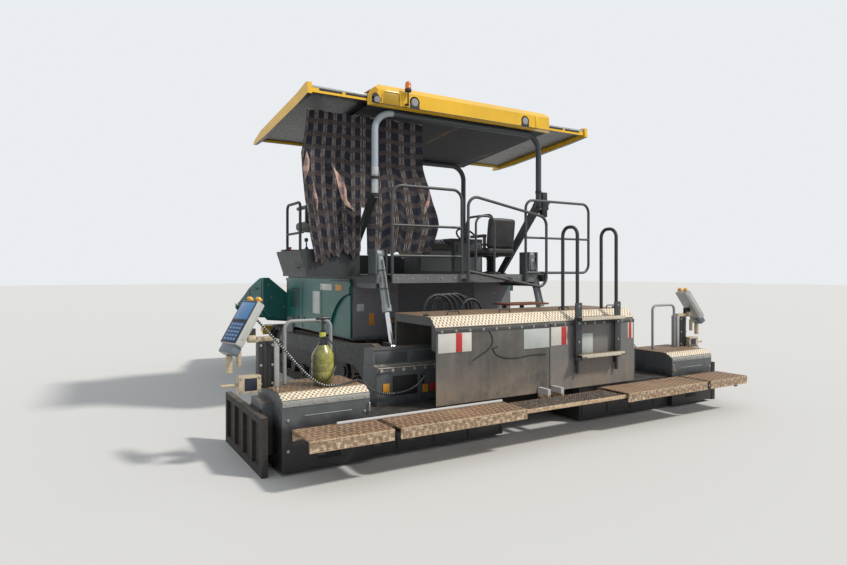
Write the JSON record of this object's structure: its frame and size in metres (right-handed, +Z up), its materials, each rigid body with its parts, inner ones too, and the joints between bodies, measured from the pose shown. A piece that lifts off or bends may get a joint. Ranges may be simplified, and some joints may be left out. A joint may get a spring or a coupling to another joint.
{
  "type": "asphalt paver",
  "caption": "Tracked asphalt paver with hopper, conveyors, augers, canopied platform and an extending screed with walkways and ladder.",
  "frame": {"origin": "on the ground under the middle of the overall box", "axes": "+X forward to the hopper, +Y to the left, +Z up"},
  "size_m": [7.285, 6.4, 3.847],
  "materials": {
    "chassis_frame": "dark grey paint, worn",
    "lift_brackets": "dark grey paint, worn",
    "auger_hanger": "dark paint, asphalt crust",
    "rear_shelf": "rusty plate",
    "engine_block": "oily",
    "side_panels": "gloss green paint, dusty",
    "engine_cover": "gloss green paint",
    "conveyors": "worn steel with asphalt",
    "track": "dusty rubber pads on steel",
    "track_frame": "dark paint, greasy",
    "platform": "tread plate, worn paint",
    "console": "matt",
    "guard_hoops": "grey paint",
    "rear_loops": "grey paint",
    "side_rails": "dark paint",
    "canopy_posts": "grey paint",
    "canopy_roof": "moulded shell, yellow",
    "canopy_lining": "moulded lining, dark",
    "canopy_wing": "moulded shell, yellow edge",
    "work_lamps": "lens in a dark housing",
    "beacon": "orange lens",
    "curtain": "checked cloth",
    "hoses": "black hose",
    "hopper_wing": "green paint, scraped inside",
    "hopper_apron": "rubber flap",
    "push_beam": "yellow paint, scratched",
    "push_roller": "bare steel",
    "seat": "padded vinyl",
    "lift_barrel": "light grey paint",
    "lift_rod": "polished rod",
    "auger": "asphalt crust",
    "screed_base": "asphalt crust",
    "screed_covers": "grey sheet with stains, worn tread plate",
    "ladder": "dark tube",
    "middle_walkway": "grating with dirt",
    "tow_arms": "dark paint",
    "extension": "grey paint, dirt, worn tread plate",
    "walkway": "rusty tread with worn edge",
    "end_gate": "black steel, asphalt crust",
    "control_post": "dark post, grey panel housing",
    "sprayer": "yellow-green bottle",
    "panel_cable": "coiled cable"
  },
  "bodies": {
    "chassis": {"chassis_frame": "chassis_frame", "lift_brackets": "lift_brackets", "auger_hanger": "auger_hanger", "rear_shelf": "rear_shelf", "engine_block": "engine_block", "side_panels": "side_panels", "conveyors": "conveyors", "track_left": "track", "track_right": "track", "track_frame_left": "track_frame", "track_frame_right": "track_frame", "platform": "platform", "console": "console", "guard_hoops": "guard_hoops", "rear_loops": "rear_loops", "side_rails": "side_rails", "canopy_posts": "canopy_posts", "canopy_roof": "canopy_roof", "canopy_lining": "canopy_lining", "work_lamps": "work_lamps", "beacon": "beacon", "curtain": "curtain", "hoses": "hoses"},
    "screed": {"screed_base": "screed_base", "screed_covers": "screed_covers", "ladder": "ladder", "middle_walkway": "middle_walkway", "tow_arms": "tow_arms"},
    "cover": {"engine_cover": "engine_cover"},
    "apron": {"hopper_apron": "hopper_apron"},
    "push_beam_body": {"push_beam": "push_beam"},
    "wing_left": {"hopper_wing_left": "hopper_wing"},
    "roof_wing_left": {"canopy_wing_left": "canopy_wing"},
    "roller_left": {"push_roller_left": "push_roller"},
    "seat_left_body": {"seat_left": "seat"},
    "barrel_left": {"lift_barrel_left": "lift_barrel"},
    "rod_left": {"lift_rod_left": "lift_rod"},
    "auger_left_body": {"auger_left": "auger"},
    "extension_left_body": {"extension_left": "extension", "walkway_left": "walkway", "control_post_left": "control_post", "sprayer": "sprayer", "panel_cable": "panel_cable"},
    "gate_left": {"end_gate_left": "end_gate"},
    "wing_right": {"hopper_wing_right": "hopper_wing"},
    "roof_wing_right": {"canopy_wing_right": "canopy_wing"},
    "roller_right": {"push_roller_right": "push_roller"},
    "seat_right_body": {"seat_right": "seat"},
    "barrel_right": {"lift_barrel_right": "lift_barrel"},
    "rod_right": {"lift_rod_right": "lift_rod"},
    "auger_right_body": {"auger_right": "auger"},
    "extension_right_body": {"extension_right": "extension", "walkway_right": "walkway", "control_post_right": "control_post"},
    "gate_right": {"end_gate_right": "end_gate"}
  },
  "joints": [
    {"name": "screed_lift", "type": "hinge", "parent": "chassis", "child": "screed", "pos_m": [1.2575, 0, 0.62], "axis": [0, 1, 0], "range_deg": [0, 5.5]},
    {"name": "engine_cover_lid", "type": "hinge", "parent": "chassis", "child": "cover", "pos_m": [0.6715, 0, 1.83], "axis": [0, -1, 0], "range_deg": [0, 55]},
    {"name": "apron_fold", "type": "hinge", "parent": "chassis", "child": "apron", "pos_m": [3.2775, 0, 0.62], "axis": [0, -1, 0], "range_deg": [0, 45]},
    {"name": "push_beam_swivel", "type": "hinge", "parent": "chassis", "child": "push_beam_body", "pos_m": [3.3875, 0, 0.512], "axis": [0, 0, 1], "range_deg": [-5, 5]},
    {"name": "hopper_wing_left_fold", "type": "hinge", "parent": "chassis", "child": "wing_left", "pos_m": [1.5075, 0.61, 0.79], "axis": [1, 0, 0], "range_deg": [0, 60]},
    {"name": "canopy_wing_left_slide", "type": "slide", "parent": "chassis", "child": "roof_wing_left", "axis": [0, -1, 0], "range_m": [0, 0.6]},
    {"name": "push_roller_left_turn", "type": "hinge", "parent": "push_beam_body", "child": "roller_left", "pos_m": [3.5525, 0.605, 0.56], "axis": [0, 1, 0], "continuous": true},
    {"name": "seat_left_swivel", "type": "hinge", "parent": "chassis", "child": "seat_left_body", "pos_m": [-0.8925, 1.62, 1.9], "axis": [0, 0, 1], "range_deg": [-20, 20]},
    {"name": "auger_left_turn", "type": "hinge", "parent": "chassis", "child": "auger_left_body", "pos_m": [-1.4425, 0.662, 0.42], "axis": [0, 1, 0], "continuous": true},
    {"name": "extension_left_slide", "type": "slide", "parent": "screed", "child": "extension_left_body", "axis": [0, 1, 0], "range_m": [-0.52, 0.85]},
    {"name": "end_gate_left_lift", "type": "slide", "parent": "extension_left_body", "child": "gate_left", "axis": [0, 0, 1], "range_m": [0, 0.12]},
    {"name": "lift_barrel_left_tilt", "type": "hinge", "parent": "chassis", "child": "barrel_left", "pos_m": [-1.5625, 1.15, 1.86], "axis": [0, 1, 0], "range_deg": [0, 4.2]},
    {"name": "lift_rod_left_stroke", "type": "slide", "parent": "barrel_left", "child": "rod_left", "axis": [-0.2972, 0, -0.9548], "range_m": [-0.3, 0]},
    {"name": "hopper_wing_right_fold", "type": "hinge", "parent": "chassis", "child": "wing_right", "pos_m": [1.5075, -0.61, 0.79], "axis": [-1, 0, 0], "range_deg": [0, 60]},
    {"name": "canopy_wing_right_slide", "type": "slide", "parent": "chassis", "child": "roof_wing_right", "axis": [0, 1, 0], "range_m": [0, 0.6]},
    {"name": "push_roller_right_turn", "type": "hinge", "parent": "push_beam_body", "child": "roller_right", "pos_m": [3.5525, -0.605, 0.56], "axis": [0, 1, 0], "continuous": true},
    {"name": "seat_right_swivel", "type": "hinge", "parent": "chassis", "child": "seat_right_body", "pos_m": [-1.1425, -0.8, 1.62], "axis": [0, 0, 1], "range_deg": [-20, 20]},
    {"name": "auger_right_turn", "type": "hinge", "parent": "chassis", "child": "auger_right_body", "pos_m": [-1.4425, -0.662, 0.42], "axis": [0, 1, 0], "continuous": true},
    {"name": "extension_right_slide", "type": "slide", "parent": "screed", "child": "extension_right_body", "axis": [0, -1, 0], "range_m": [-0.52, 0.85]},
    {"name": "end_gate_right_lift", "type": "slide", "parent": "extension_right_body", "child": "gate_right", "axis": [0, 0, 1], "range_m": [0, 0.12]},
    {"name": "lift_barrel_right_tilt", "type": "hinge", "parent": "chassis", "child": "barrel_right", "pos_m": [-1.5625, -1.15, 1.86], "axis": [0, 1, 0], "range_deg": [0, 4.2]},
    {"name": "lift_rod_right_stroke", "type": "slide", "parent": "barrel_right", "child": "rod_right", "axis": [-0.2972, 0, -0.9548], "range_m": [-0.3, 0]}
  ],
  "couplings": [
    {"joint": "lift_barrel_left_tilt", "follows": "screed_lift", "ratio": 0.7376},
    {"joint": "lift_rod_left_stroke", "follows": "screed_lift", "m_per_rad": -3.0711},
    {"joint": "lift_barrel_right_tilt", "follows": "screed_lift", "ratio": 0.7376},
    {"joint": "lift_rod_right_stroke", "follows": "screed_lift", "m_per_rad": -3.0711}
  ]
}
